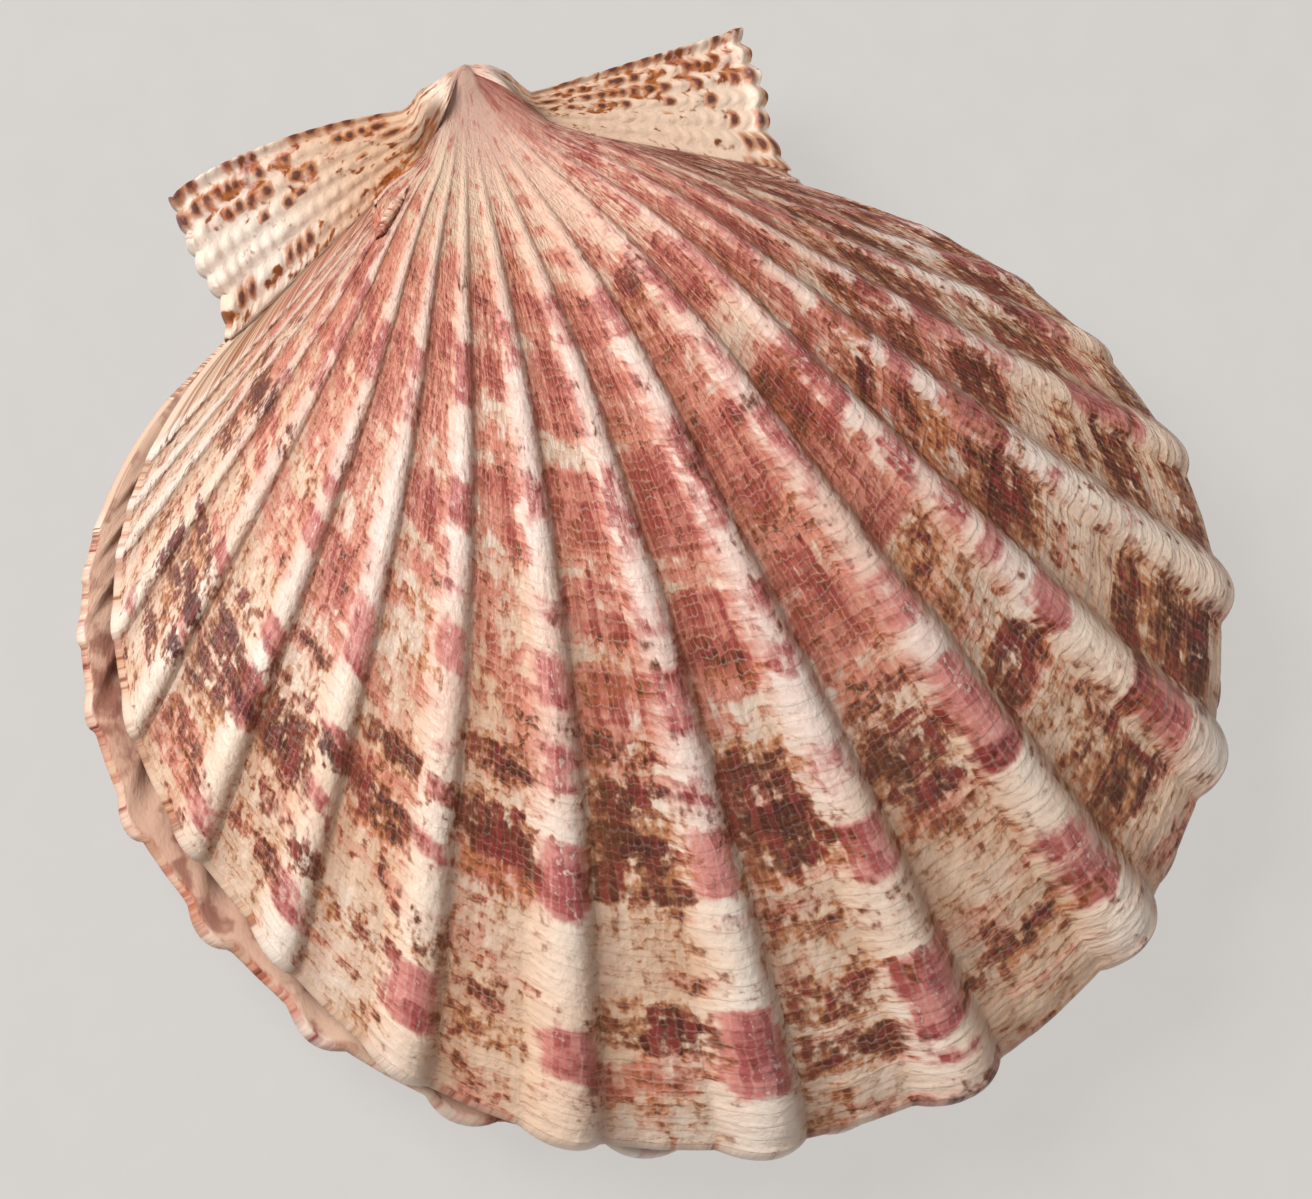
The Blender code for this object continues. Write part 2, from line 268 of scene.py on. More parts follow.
        wave, spacing = self.crest(angle)
        width = spacing * reach
        height = RIB_HEIGHT * (width / FULL_SPACING) ** RIB_HEIGHT_POWER
        height = height * smooth(along, 0, RIB_START) * ribbed
        z = z + height * wave * (np.abs(angle) < edge)
        ear = self.ear(angle)
        z = z + along * EAR_DOMING * np.sin(math.pi * ear)
        bend = middle ** ARCH_POWER * smooth(along, ARCH_START, ARCH_FULL)
        y = y + self.arch * bend * ear * (angle < 0)
        return np.stack([x, y, z], -1)


between = [(a + b) / 2 for a, b in zip(RIB_ANGLES[:-1], RIB_ANGLES[1:])]
upper = Valve(9.6, RIB_ANGLES, 38.8, (30.5, 35.6), (21.2, 20.6), 2.7, flat=1.5, arch=1.8)
lower = Valve(7.6, between, 40.0, (29.4, 34.7), (19.6, 19.8), 0.8, shift=-0.5, flat=0.8,
              notch=7.5)
print(len(upper.ribs), "ribs above,", len(lower.ribs), "below")

# %% [markdown]
# ## Rows and columns
#
# The mesh is a net. Its columns follow the rays, with more of them where a rib is wide.
# Its rows follow growth: each growth scale gets two rows, one at its foot and one at its
# raised edge, so the scales are real steps in the mesh without a huge vertex count.

# %% Columns along the rays
def columns(valve, density, ear_columns):
    """Directions of the net's columns from the left ear's hinge end to the right one's."""
    left, right = math.radians(FAN_EDGE_LEFT), math.radians(FAN_EDGE_RIGHT)
    ear = np.linspace(0, 1, ear_columns + 1)[1:]
    stops = np.concatenate([[-left], valve.ribs, [right]])
    disc = []
    for first, second in zip(stops[:-1], stops[1:]):
        count = max(3, round(density * math.degrees(second - first) ** 0.75))
        disc.extend(np.linspace(first, second, count, endpoint=False))
    left_ear = -(left + (math.pi / 2 - left) * ear[::-1])
    right_ear = right + (math.pi / 2 - right) * ear
    return np.concatenate([left_ear, disc, [right], right_ear])


# %% Rows along growth
SCALE_EDGE = 0.8
FINE_SPACING, CROWDING = 0.45, 0.25


def growth_rows(scales):
    """Growth numbers of the rows, two for each scale, and how far along they lie."""
    along = np.linspace(0.015, 1, 2000)
    spacing = FINE_SPACING + (1 - FINE_SPACING) * smooth(along, 0.02, 0.3)
    spacing = spacing - CROWDING * smooth(along, 0.8, 1)
    number = np.concatenate([[0], np.cumsum(1 / spacing)[:-1]])
    number *= scales / number[-1]
    growth = np.sort(np.concatenate([np.arange(scales), np.arange(scales) + SCALE_EDGE]))
    growth = np.append(growth, scales)
    return growth, np.interp(growth, number, along)


net_columns = columns(upper, 5.8, 56)
growth, growth_along = growth_rows(76)
print(len(net_columns), "columns,", len(growth), "rows")


# %% [markdown]
# ## Fine relief
#
# Four things ride on the ribs. Riblets run lengthwise. Growth scales cross them and are
# strongest in the spaces. Ledges mark the seasons when growth stopped, and four of them
# crowd the margin. Last, an old chip near the left flank left a small lobed step.

# %% Riblets, scales and ledges
RIBLETS_PER_RIB = 4
CHIP_HEIGHT = 0.6
LEDGES = ((0.335, 0.10), (0.52, 0.08), (0.655, 0.10), (0.80, 0.08), (0.90, 0.12),
          (0.945, 0.15), (0.966, 0.17), (0.984, 0.15))


def wavy(valve, angle, along):
    """How far a growth line strays along the ray, as a share of the ray."""
    number = valve.rib_number(angle)
    big = 0.005 * slow(number * 0.8, along * 9) + 0.0022 * quick(number * 3.5, along * 40)
    small = 0.0022 * grain(number * 9, along * 70)
    return (big + small) * smooth(along, 0.03, 0.3) * (1 - smooth(along, 0.955, 1))


def ledges(valve, angle, along):
    """Steps that rise slowly and then drop, higher side towards the beak."""
    number = valve.rib_number(angle)
    relief = 0
    for place, height in LEDGES:
        edge = place + 0.006 * slow(number * 0.7 + 9 * place, 0) * (place < 0.95)
        edge = edge + 0.0022 * quick(number * 3 + 40 * place, 3)
        rise = smooth(along, edge - 0.035, edge) * (1 - smooth(along, edge, edge + 0.004))
        relief = relief + height * rise * (0.75 + 0.25 * slow(number, 20 * place))
    return relief


def chip(valve, angle, along):
    """The healed chip: a raised skirt of riblets that ends in lobes."""
    number = valve.rib_number(angle)
    wave = np.cos(2 * math.pi * 1.25 * number)
    lobes = 0.265 + 0.02 * wave
    reach = smooth(number, 0.2, 0.8) * (1 - smooth(number, 3.2, 3.7)) * (0.6 + 0.4 * wave)
    return reach * smooth(along, 0.15, 0.25) * (1 - smooth(along, lobes, lobes + 0.006))


def disc_relief(valve, angle, along, growth, chipped):
    wave, spacing = valve.crest(angle)
    number = valve.rib_number(angle)
    width = spacing * along * valve.margin_radius(angle)
    riblet = 0.5 + 0.5 * np.cos(2 * math.pi * RIBLETS_PER_RIB * number)
    relief = 0.006 * width * riblet * (1 - wave)
    relief = relief + 0.012 * width * slow(number * 2.2, along * 14)

    scale = np.minimum(growth % 1 / SCALE_EDGE, (1 - growth % 1) / (1 - SCALE_EDGE))
    strength = 0.022 + 0.035 * smooth(along, 0.18, 0.3) * (1 - smooth(along, 0.6, 0.72))
    strength = strength * (1 + 0.9 * quick(number * 3, growth * 0.6)) * (1 - 0.5 * wave)
    relief = relief + np.minimum(strength, 0.03 * np.sqrt(width) + 0.02) * scale
    relief = relief + ledges(valve, angle, along)
    if chipped:
        relief = relief + CHIP_HEIGHT * chip(valve, angle, along)
    return relief * smooth(along, 0.02, 0.12)


# %% [markdown]
# ## Ears
#
# The ears carry their own riblets, knobbly like strings of beads, and the hinge line has
# a thick rolled edge. They are covered by the same net, because each ear is only the part
# of the fan beyond the last rib.

# %% Ear relief
EAR_BEADS = 19


def bead_number(valve, angle, along):
    """Counts the swellings of each riblet, which are out of step with the next riblet's."""
    row = np.round(valve.ear(angle) * EAR_RIBLETS)
    return EAR_BEADS * along ** 1.2 + 9 * slow(row + 0.5, 2.5) + 0.5 * quick(row, along * 9)


def ear_beads(valve, angle, along):
    row = valve.ear(angle) * EAR_RIBLETS
    bead = 0.78 + 0.22 * np.cos(2 * math.pi * bead_number(valve, angle, along))
    return bead + 0.12 * quick(row * 2.3, along * 30)


def ear_spots(valve, angle, along, share):
    """Round spots that sit on some of the swellings, on the given share of them."""
    row, bead = valve.ear(angle) * EAR_RIBLETS, bead_number(valve, angle, along)
    nearest_row, nearest_bead = np.round(row), np.round(bead)
    chance = 0.5 + 0.5 * grain(nearest_row * 3 + 20 * (angle > 0), nearest_bead)
    body = np.exp(-((row - nearest_row) / 0.36) ** 2 - ((bead - nearest_bead) / 0.42) ** 2)
    return np.where(chance < share, body * smooth(along, 0.12, 0.3), 0)


def ear_relief(valve, angle, along):
    ear = valve.ear(angle)
    riblet = 0.5 + 0.5 * np.cos(2 * math.pi * EAR_RIBLETS * ear)
    left = angle < 0
    strength = np.where(left, 0.34, 0.18 + 0.2 * smooth(ear, 0.35, 0.7))
    relief = strength * along ** 0.7 * riblet * ear_beads(valve, angle, along)
    relief = relief + 0.35 * along ** 0.5 * smooth(ear, 0.93, 1.0)
    lip = hump(along, 0.965, 0.02) * np.where(left, 0.1, 0.35)
    foot = smooth(ear, 0.0, 0.06)
    return (relief + lip) * foot * smooth(along, 0.05, 0.2)


# %% [markdown]
# ## From numbers to a net of points
#
# The smooth face is worked out first, then its normals, and the relief is laid along
# them. The inner face is the smooth one moved down by the wall, and a few extra rows
# round the edge between the two.

# %% Faces of the net
RIBS_FELT_INSIDE, LEDGE_FROM, LEDGE_RISE = 0.4, 0.88, 0.15
INNER_START, INNER_FULL = 0.05, 0.17


def hang_beak(points, overhang):
    """The raised part of the beak leans out past the hinge line, most at its tip."""
    x, y, z = points[..., 0], points[..., 1], points[..., 2]
    arch = np.clip(1 - (x / BEAK_HALF_WIDTH) ** 2, 0, 1) * smooth(z, WALL, WALL + OVERHANG_FULL)
    points[..., 1] += overhang * arch * np.exp(np.minimum(y, 0) / OVERHANG_FADE)


def normals(points):
    across, down = np.gradient(points, axis=1), np.gradient(points, axis=0)
    normal = np.cross(down, across)
    normal /= np.maximum(np.linalg.norm(normal, axis=-1, keepdims=True), 1e-9)
    return normal * np.sign(normal[..., 2:] + 1e-9)


def outer_net(valve, angles, growth, along, chipped):
    angle, growth = np.broadcast_arrays(angles[None, :], growth[:, None])
    along = np.broadcast_to(along[:, None], angle.shape)
    along = along + wavy(valve, angle, along) * (valve.ear(angle) == 0)
    points = valve.outer(angle, along)
    hang_beak(points, valve.overhang)
    relief = np.where(valve.ear(angle) > 0, ear_relief(valve, angle, along),
                      disc_relief(valve, angle, along, growth, chipped))
    return points + normals(points) * relief[..., None], angle, along, growth


def inner_net(valve, angles, along):
    """The inner face. Near the margin it is nearly flat, like a ledge."""
    angle, along = np.broadcast_arrays(angles[None, :], along[:, None])
    points = valve.outer(angle, along, RIBS_FELT_INSIDE)
    steep = np.clip(normals(points)[..., 2], STEEPEST, 1)
    ledge = smooth(along, 1, LEDGE_FROM) * (1 - LEDGE_RISE) + LEDGE_RISE
    hollow = smooth(along, INNER_START, INNER_FULL) * ledge
    points[..., 2] = np.maximum(points[..., 2] - WALL / steep, 0) * hollow
    return points, angle, along


# %% Round the edge between the faces
EDGE_ROWS, EDGE_BULGE = 3, 0.3


def edge_net(outer_rim, inner_rim):
    """Rows between the two rims that swell outwards a little."""
    outward = outer_rim[:, :2] - outer_rim[:, :2].mean(0)
    outward /= np.linalg.norm(outward, axis=1, keepdims=True)
    rows = []
    for step in range(1, EDGE_ROWS + 1):
        share = step / (EDGE_ROWS + 1)
        row = outer_rim * (1 - share) + inner_rim * share
        row[:, :2] += outward * EDGE_BULGE * math.sin(math.pi * share)
        rows.append(row)
    return np.array(rows)


# %% [markdown]
# ## Where the colours lie
#
# Colour is laid down by the growing margin too, so it comes in bars across the ribs and
# spots in the spaces. Each mark below is given one by one: a rib number, how far along, half
# its width in ribs, half its length, and its strength. The nodes break up the edges.

# %% Bars and patches of the upper valve
ROSE_BARS = {
    2: ((0.37, 0.46, 0.7),),
    3: ((0.30, 0.40, 0.8), (0.43, 0.50, 0.7), (0.55, 0.58, 0.5), (0.95, 0.98, 0.6)),
    4: ((0.33, 0.45, 0.9), (0.45, 0.52, 0.5), (0.75, 0.78, 0.9), (0.86, 0.88, 0.7)),
    5: ((0.34, 0.42, 0.8), (0.55, 0.58, 0.8), (0.60, 0.64, 0.9), (0.73, 0.77, 1.0),
        (0.80, 0.86, 1.0), (0.95, 0.98, 0.7)),
    6: ((0.33, 0.37, 1.0), (0.38, 0.43, 0.5), (0.62, 0.70, 0.8), (0.76, 0.78, 0.9),
        (0.82, 0.85, 0.7), (0.92, 0.97, 0.6)),
    7: ((0.28, 0.35, 0.9), (0.43, 0.48, 1.0), (0.53, 0.55, 0.5), (0.57, 0.62, 1.0),
        (0.68, 0.70, 0.6), (0.72, 0.75, 0.7), (0.78, 0.80, 0.9), (0.90, 0.96, 1.0)),
    8: ((0.23, 0.29, 0.7), (0.39, 0.45, 0.6), (0.50, 0.53, 0.5), (0.56, 0.61, 0.9),
        (0.64, 0.69, 0.7), (0.73, 0.80, 1.1), (0.90, 0.945, 1.1)),
    9: ((0.20, 0.26, 0.7), (0.36, 0.47, 0.6), (0.50, 0.53, 0.6), (0.56, 0.62, 0.7),
        (0.66, 0.69, 0.5), (0.71, 0.77, 1.0), (0.87, 0.95, 1.1)),
    10: ((0.20, 0.26, 0.8), (0.33, 0.45, 0.6), (0.50, 0.54, 0.6), (0.56, 0.60, 0.6),
         (0.65, 0.70, 0.6), (0.73, 0.79, 0.8), (0.86, 0.94, 1.0), (0.95, 0.97, 0.6)),
    11: ((0.22, 0.27, 0.8), (0.30, 0.35, 0.6), (0.38, 0.48, 0.7), (0.56, 0.62, 0.9),
         (0.66, 0.78, 0.9), (0.85, 0.94, 0.8)),
    12: ((0.23, 0.30, 0.8), (0.37, 0.46, 1.0), (0.50, 0.55, 0.8), (0.58, 0.63, 0.7),
         (0.64, 0.67, 0.8), (0.71, 0.77, 0.9), (0.86, 0.94, 1.1)),
    13: ((0.25, 0.33, 0.9), (0.41, 0.48, 1.0), (0.50, 0.54, 1.0), (0.57, 0.67, 1.0),
         (0.72, 0.75, 0.6), (0.84, 0.86, 0.5)),
    14: ((0.28, 0.33, 0.6), (0.50, 0.55, 1.1), (0.58, 0.65, 1.0), (0.67, 0.74, 0.6),
         (0.81, 0.93, 1.0)),
    15: ((0.40, 0.47, 0.9), (0.50, 0.54, 1.0), (0.58, 0.66, 0.7), (0.78, 0.92, 0.8)),
    16: ((0.33, 0.42, 0.8), (0.56, 0.66, 1.0), (0.82, 0.94, 0.8)),
}
ROSE_SPACES = {
    3: ((0.30, 0.38, 0.8), (0.43, 0.48, 0.9), (0.50, 0.56, 0.6), (0.60, 0.66, 0.8)),
    4: ((0.33, 0.47, 0.7), (0.51, 0.57, 0.5), (0.61, 0.65, 0.7), (0.91, 0.98, 0.7)),
    5: ((0.29, 0.46, 0.9), (0.50, 0.58, 0.6), (0.60, 0.68, 0.9), (0.92, 0.95, 0.5)),
    6: ((0.27, 0.41, 0.9), (0.44, 0.52, 0.9), (0.56, 0.60, 0.5), (0.75, 0.83, 0.8)),
    7: ((0.22, 0.33, 0.8), (0.40, 0.48, 0.9), (0.55, 0.61, 0.7), (0.76, 0.80, 0.9)),
    8: ((0.12, 0.17, 0.6), (0.20, 0.35, 0.9), (0.38, 0.46, 1.2), (0.48, 0.54, 0.9),
        (0.57, 0.62, 1.0), (0.91, 0.96, 0.6)),
    9: ((0.21, 0.34, 0.8), (0.36, 0.47, 1.3), (0.50, 0.61, 1.0), (0.76, 0.78, 0.8)),
    10: ((0.21, 0.34, 0.8), (0.36, 0.47, 1.1), (0.50, 0.62, 0.8), (0.76, 0.79, 0.7)),
    11: ((0.22, 0.28, 0.8), (0.36, 0.48, 1.2), (0.48, 0.57, 1.0), (0.74, 0.78, 0.8)),
    12: ((0.24, 0.42, 0.9), (0.44, 0.60, 0.8)),
    13: ((0.26, 0.36, 0.8), (0.44, 0.62, 0.8)),
    14: ((0.30, 0.42, 0.8), (0.56, 0.64, 0.6), (0.86, 0.92, 0.8)),
}
DARK_SPACES = {
    1: ((0.52, 0.58, 0.6), (0.60, 0.67, 0.8), (0.72, 0.75, 0.6)),
    2: ((0.60, 0.67, 1.0), (0.69, 0.74, 0.9), (0.86, 0.91, 0.5)),
    3: ((0.68, 0.70, 0.7), (0.78, 0.90, 0.9), (0.92, 0.95, 0.8)),
    4: ((0.57, 0.60, 0.6), (0.75, 0.78, 0.9), (0.79, 0.84, 1.0), (0.85, 0.90, 0.8),
        (0.92, 0.95, 0.6)),
    5: ((0.71, 0.73, 0.7), (0.75, 0.78, 0.6), (0.79, 0.86, 1.1), (0.88, 0.91, 0.5),
        (0.92, 0.95, 0.6)),
    6: ((0.57, 0.59, 0.5), (0.62, 0.64, 0.7), (0.72, 0.75, 0.9), (0.77, 0.82, 1.1),
        (0.90, 0.93, 0.7)),
    7: ((0.66, 0.70, 0.7), (0.72, 0.77, 1.1), (0.77, 0.80, 0.7), (0.88, 0.90, 0.5),
        (0.92, 0.95, 0.7)),
    8: ((0.58, 0.60, 0.5), (0.63, 0.66, 0.7), (0.67, 0.785, 1.2), (0.87, 0.92, 0.9)),
    9: ((0.57, 0.59, 0.4), (0.64, 0.70, 0.9), (0.70, 0.77, 1.3), (0.81, 0.83, 0.6),
        (0.86, 0.91, 0.6), (0.92, 0.95, 0.8)),
    10: ((0.20, 0.27, 0.6), (0.46, 0.48, 0.6), (0.65, 0.70, 0.8), (0.70, 0.77, 1.1),
         (0.78, 0.80, 0.6), (0.91, 0.94, 0.8)),
    11: ((0.37, 0.44, 0.6), (0.57, 0.62, 0.8), (0.64, 0.66, 0.7), (0.71, 0.77, 1.0),
         (0.83, 0.85, 0.6), (0.86, 0.94, 1.0)),
    12: ((0.26, 0.30, 0.5), (0.45, 0.50, 1.0), (0.53, 0.60, 0.8), (0.62, 0.73, 1.1),
         (0.84, 0.98, 1.0)),
    13: ((0.44, 0.50, 0.9), (0.52, 0.58, 0.7), (0.62, 0.70, 1.1), (0.77, 0.82, 0.7),
         (0.84, 0.90, 1.1), (0.95, 0.99, 0.9)),
    14: ((0.46, 0.50, 0.8), (0.52, 0.66, 0.9), (0.74, 0.85, 1.0), (0.94, 0.99, 0.8)),
    15: ((0.50, 0.56, 0.8), (0.58, 0.72, 0.9), (0.80, 0.93, 1.0)),
    16: ((0.42, 0.50, 0.6), (0.56, 0.64, 0.9), (0.70, 0.77, 1.0), (0.85, 0.95, 0.8)),
    17: ((0.50, 0.60, 0.7), (0.68, 0.80, 0.8), (0.88, 0.97, 0.8)),
}
DARK_BARS = {
    2: ((0.50, 0.58, 0.5), (0.62, 0.66, 0.8), (0.80, 0.84, 0.5)),
    3: ((0.58, 0.64, 1.0), (0.78, 0.80, 0.6), (0.82, 0.90, 0.9)),
    4: ((0.57, 0.62, 0.8), (0.79, 0.86, 1.1), (0.88, 0.92, 1.0)),
    5: ((0.74, 0.76, 0.5), (0.81, 0.86, 0.8)),
    6: ((0.77, 0.81, 0.9), (0.89, 0.92, 0.8)),
    7: ((0.71, 0.76, 0.6), (0.87, 0.90, 0.8)),
    12: ((0.87, 0.90, 0.5),),
    13: ((0.45, 0.48, 0.5), (0.57, 0.60, 0.5)),
    14: ((0.51, 0.54, 0.8), (0.89, 0.92, 0.7)),
    15: ((0.78, 0.85, 0.8),),
}
RUST_SPACES = {
    2: ((0.70, 0.95, 0.6),), 3: ((0.55, 0.98, 0.5),), 4: ((0.66, 0.78, 0.6), (0.88, 0.96, 0.6)),
    5: ((0.50, 0.62, 0.4), (0.86, 0.97, 0.5)), 6: ((0.55, 0.72, 0.6), (0.82, 0.97, 0.5)),
    7: ((0.18, 0.21, 0.9), (0.50, 0.72, 0.5), (0.80, 0.97, 0.6)),
    8: ((0.16, 0.19, 0.8), (0.53, 0.67, 0.6), (0.79, 0.99, 0.6)),
    9: ((0.31, 0.36, 0.6), (0.56, 0.67, 0.6), (0.79, 0.99, 0.7)),
    10: ((0.20, 0.36, 0.6), (0.46, 0.66, 0.6), (0.79, 0.99, 0.6)),
    11: ((0.28, 0.31, 0.7), (0.37, 0.50, 0.7), (0.56, 0.72, 0.7), (0.80, 0.99, 0.7)),
    12: ((0.30, 0.45, 0.6), (0.50, 0.80, 0.8), (0.82, 0.99, 0.7)),
    13: ((0.34, 0.46, 0.5), (0.56, 0.84, 0.8), (0.88, 0.99, 0.7)),
    14: ((0.45, 0.98, 0.7),), 15: ((0.45, 0.98, 0.7),), 16: ((0.40, 0.98, 0.7),),
    17: ((0.40, 0.98, 0.7),), 18: ((0.40, 0.98, 0.6),),
}
RUST_BARS = {
    9: ((0.83, 0.87, 0.6),), 10: ((0.80, 0.88, 0.4),), 11: ((0.46, 0.48, 0.5),),
    12: ((0.40, 0.44, 0.5),), 13: ((0.41, 0.48, 0.7), (0.58, 0.71, 0.7), (0.78, 0.82, 0.4)),
    14: ((0.60, 0.70, 0.7), (0.81, 0.90, 0.6)), 15: ((0.44, 0.72, 0.6),),
}
BAR_HALF_WIDTH, SPACE_HALF_WIDTH = 0.19, 0.36
BAR_EDGE = 0.007


def field(bars, spaces, number, along):
    """Soft-edged bars on the crests and patches in the spaces to their right."""
    total = np.zeros(np.broadcast(number, along).shape)
    for centre, half, table in ((0, BAR_HALF_WIDTH, bars), (0.5, SPACE_HALF_WIDTH, spaces)):
        for rib, stretches in table.items():
            across = np.exp(-((number - rib - centre) / half) ** 4)
            for start, end, strength in stretches:
                lies = (smooth(along, start - BAR_EDGE, start + BAR_EDGE)
                        * (1 - smooth(along, end - BAR_EDGE, end + BAR_EDGE)))
                total = np.maximum(total, strength * across * lies)
    return total


# %% Paint the disc
MARKS = {"rose": (ROSE_BARS, ROSE_SPACES), "dark": (DARK_BARS, DARK_SPACES),
         "rust": (RUST_BARS, RUST_SPACES)}
LOWER_MARGIN_MARKS = 0.42


def paint_disc(valve, angle, along, chipped):
    """The marks by number, and the faint colour of whole regions under them."""
    number = valve.rib_number(angle)
    found = {key: field(bars, spaces, number, along) for key, (bars, spaces) in MARKS.items()}
    right_side, far_right = smooth(number, 9.5, 12), smooth(number, 14, 17)
    left_side = smooth(number, 4.5, 3) * smooth(along, 0.4, 0.3)
    for faint in (0.25 * hump(along, 0, 0.07), 0.55 * right_side * smooth(along, 0.5, 0.2),
                  0.6 * far_right, 0.5 * left_side):
        found["rose"] = np.maximum(found["rose"], faint)
    flank = smooth(number, 3.4, 2.2) * smooth(along, 0.34, 0.2) + smooth(number, 0.6, 0.1)
    found["dark"] = np.maximum(found["dark"], 0.42 * np.minimum(flank, 1))
    found["dark"] = np.maximum(found["dark"], 0.35 * far_right * smooth(along, 0.15, 0.4))
    freckled = (0.3 + 0.25 * smooth(along, 0.58, 0.7)) * (1 - valve.crest(angle)[0])
    found["rust"] = np.maximum(found["rust"], freckled * smooth(along, 0.2, 0.3))

    if chipped:
        unmarked = 1 - smooth(chip(valve, angle, along), 0.02, 0.15)
        found = {key: marks * unmarked for key, marks in found.items()}
    else:
        mottled = LOWER_MARGIN_MARKS * smooth(along, 0.94, 0.98)
        for key in ("rose", "rust"):
            found[key] = np.maximum(found[key], mottled)
    return found


# %% Paint the ears
def paint_ears(valve, angle, along):
    """Round dark spots on the riblets, rust near the beak and painted shade in the hollow at the
    foot.
    """
    ear, left = valve.ear(angle), angle < 0
    share = np.where(left, 0.08 + 0.45 * smooth(ear, 0.35, 0.75),
                     0.52 * np.maximum(smooth(ear, 0.3, 0.55), smooth(along, 0.84, 0.9)))
    stained = 0.75 * smooth(along, 0.6, 0.2) + 0.5 * smooth(ear, 0.3, 0.1)
    rust_left = np.maximum(0.15 * smooth(ear, 0.3, 0.5), stained)
    rust_right = smooth(ear, 0.25, 0.4) * (0.3 + 0.5 * smooth(along, 0.75, 0.35))
    # Painted shade: darker in the hollow where each ear meets the disc, close to the beak.
    crevice_shade = smooth(along, 0.3, 0.18) * smooth(along, 0.09, 0.14) * smooth(ear, 0.7, 0.3)
    return {"rose": 0.25 * smooth(ear, 0.5, 0.7), "dark": ear_spots(valve, angle, along, share),
            "rust": np.where(left, rust_left, rust_right), "crevice_shade": crevice_shade}


def paint(valve, angle, along, chipped):
    """Strength of every kind of mark at every point, between 0 and about 1."""
    on_disc, on_ear = paint_disc(valve, angle, along, chipped), paint_ears(valve, angle, along)
    disc = valve.ear(angle) == 0
    return {key: np.where(disc, on_disc.get(key, 0), marks) for key, marks in on_ear.items()}


# %% [markdown]
# ## Building the mesh
#
# The rows of the outer face, the edge and the inner face are stacked into one long net,
# and a single vertex closes each end at the beak. Numbers that the nodes need later, such
# as the rib number or the growth number, are stored on the vertices as attributes.

# %% Stack the rows into one closed mesh
def zip_strip(first, first_at, second, second_at):
    """Triangles between two lines of points whose points lie at rising places."""
    i = j = 0
    faces = []
    while i < len(first) - 1 or j < len(second) - 1:
        step_first = j == len(second) - 1 or (
            i < len(first) - 1 and first_at[i + 1] <= second_at[j + 1])
        if step_first:
            faces.append((first[i], first[i + 1], second[j]))
            i += 1
        else:
            faces.append((first[i], second[j + 1], second[j]))
            j += 1
    return faces


def net_faces(outer_rows, inner_rows, count, along):
    """Quads of the stacked net, the two beak fans and the two sides at the hinge line."""
    rows = outer_rows + EDGE_ROWS + inner_rows
    tip, inner_tip = rows * count, rows * count + 1
    start = (np.arange(rows - 1)[:, None] * count + np.arange(count - 1)).ravel()
    faces = np.stack([start, start + count, start + count + 1, start + 1], 1).tolist()
    last = (rows - 1) * count
    for col in range(count - 1):
        faces.append((tip, col, col + 1))
        faces.append((inner_tip, last + col + 1, last + col))
    outside = list(range(outer_rows + EDGE_ROWS))
    inside = list(range(rows - 1, outer_rows + EDGE_ROWS - 1, -1))
    for col in (0, count - 1):
        first = [tip] + [row * count + col for row in outside]
        second = [inner_tip] + [row * count + col for row in inside]
        faces += zip_strip(first, [0, *along[outside]], second, [0, *along[inside]])
    return faces


def make_object(name, points, faces, values):
    """A smooth object from points in millimetres, with one number per point for each value."""
    mesh = bpy.data.meshes.new(name)
    mesh.from_pydata((points * MM).tolist(), [], faces)
    work = bmesh.new()
    work.from_mesh(mesh)
    bmesh.ops.recalc_face_normals(work, faces=work.faces)
    work.to_mesh(mesh)
    work.free()
    mesh.shade_smooth()
    for key, numbers in values.items():
        store = mesh.attributes.new(key, "FLOAT", "POINT")
        store.data.foreach_set("value", np.asarray(numbers, np.float32))
    thing = bpy.data.objects.new(name, mesh)
    bpy.context.scene.collection.objects.link(thing)
    triangles = sum(len(face) - 2 for face in faces)
    print(name, len(points), "points,", triangles, "triangles")
    return thing


# %% Grow one valve
def grow(valve, angles, growth, along, inner_along, chipped=False):
    """Points, faces and values of one valve, its rim plane at height 0."""
    outside, angle, place, number = outer_net(valve, angles, growth, along, chipped)
    inside, inner_angle, inner_place = inner_net(valve, angles, inner_along)
    edge = edge_net(outside[-1], inside[0])
    stack = np.concatenate([outside, edge, inside])
    angle = np.concatenate([angle, np.tile(angle[-1], (EDGE_ROWS, 1)), inner_angle])
    place = np.concatenate([place, np.ones_like(edge[..., 0]), inner_place])
    number = np.concatenate([number, np.full_like(edge[..., 0], number[-1, 0]),
                             np.interp(inner_place, along, growth)])
    face = np.ones(angle.shape)
    face[len(outside) + EDGE_ROWS:] = 0
    order = place[:, 0].copy()
    order[len(outside):len(outside) + EDGE_ROWS] = 1 + 0.001 * np.arange(1, EDGE_ROWS + 1)
    order[len(outside) + EDGE_ROWS] = 1.01

    tip = valve.outer(np.zeros((1, 1)), np.full((1, 1), 1e-4))[0, 0]
    hang_beak(tip, valve.overhang)
    points = np.concatenate([stack.reshape(-1, 3), [tip, np.zeros(3)]])
    ear = valve.ear(angle)
    on_ear = (ear > 0).astype(float)
    riblet = 0.5 + 0.5 * np.cos(2 * math.pi * EAR_RIBLETS * ear)
    beads = riblet * np.clip(ear_beads(valve, angle, place), 0, 1)
    values = {"rib": np.where(ear > 0, ear, valve.rib_number(angle)), "along": place,
              "growth": np.where(ear > 0, EAR_BEADS * place, number), "ear": on_ear,
              "crest": np.where(ear > 0, beads, valve.crest(angle)[0]), "face": face}
    values.update(paint(valve, angle, place, chipped))
    values = {key: np.append(grid.ravel(), [grid.flat[0], 0]) for key, grid in values.items()}
    faces = net_faces(len(outside), len(inside), len(angles), order)
    return points, faces, values


